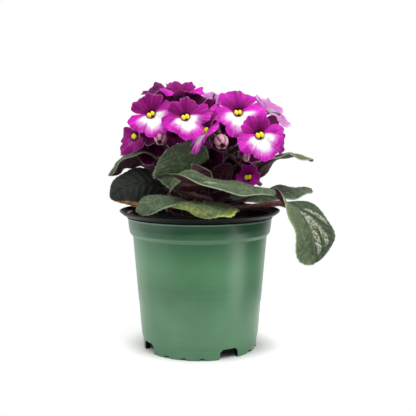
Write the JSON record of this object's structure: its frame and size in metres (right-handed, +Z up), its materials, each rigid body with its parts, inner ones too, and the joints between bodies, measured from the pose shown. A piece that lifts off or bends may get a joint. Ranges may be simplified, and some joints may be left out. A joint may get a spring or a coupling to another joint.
{
  "type": "potted african violet",
  "caption": "African violet in bloom in a round tapered plastic nursery pot: heart-shaped hairy leaves, two-tone purple blooms on branched stalks, potting mix.",
  "frame": {"origin": "middle of the whole plant's bounding box in plan, in the plane that the pot's feet stand on", "axes": "+Z up, the longest extent; -Y towards the picture's camera; the pot's axis stands 12.6 mm to -X of the origin, because one leaf hangs out over the rim at +X"},
  "size_m": [0.1472, 0.1346, 0.1781],
  "materials": {
    "pot": "satin formed plastic, green outside, black lip and inside",
    "potting_mix": "moist dark peat with a few light bits; fabric stands in for growing mix",
    "leaf": "living leaf, dark green with a pale margin above and maroon below, finely haired; fabric stands in for leaf",
    "stalk": "fleshy maroon stalk, finely haired; fabric stands in for stem",
    "petal": "velvety magenta-purple petals with a white band on the lower ones; fabric stands in for petal",
    "anther": "matt yellow pollen sacs; plastic stands in for them",
    "bud": "folded pink petals, finely haired; fabric stands in for petal"
  },
  "bodies": {
    "root": {"pot": "pot", "potting_mix": "potting_mix", "crown": "stalk", "leaf_01_left_low": "leaf", "leaf_02_left_high": "leaf", "leaf_03_left_upright": "leaf", "leaf_04_front_folded": "leaf", "leaf_05_front_left_small": "leaf", "leaf_06_front_drooping": "leaf", "leaf_07_right_high": "leaf", "leaf_08_right_level": "leaf", "leaf_09_right_hanging": "leaf", "leaf_10_back_right": "leaf", "leaf_11_back": "leaf", "leaf_12_back_left": "leaf", "leaf_13_back_high_right": "leaf", "leaf_14_back_high_left": "leaf", "spray_1_front_left": "stalk", "spray_2_front_right": "stalk", "spray_3_top": "stalk", "spray_4_right": "stalk", "spray_5_back": "stalk", "corolla_01": "petal", "corolla_02": "petal", "corolla_03": "petal", "corolla_04": "petal", "corolla_05": "petal", "corolla_06": "petal", "corolla_07": "petal", "corolla_08": "petal", "corolla_09": "petal", "corolla_10": "petal", "corolla_11": "petal", "corolla_12": "petal", "corolla_13": "petal", "corolla_14": "petal", "corolla_15": "petal", "corolla_16": "petal", "anthers_01": "anther", "anthers_02": "anther", "anthers_03": "anther", "anthers_04": "anther", "anthers_05": "anther", "anthers_06": "anther", "anthers_07": "anther", "anthers_08": "anther", "anthers_09": "anther", "anthers_10": "anther", "anthers_11": "anther", "anthers_12": "anther", "anthers_13": "anther", "anthers_14": "anther", "anthers_15": "anther", "anthers_16": "anther", "bud_01": "bud", "bud_02": "bud", "bud_03": "bud"}
  },
  "joints": []
}
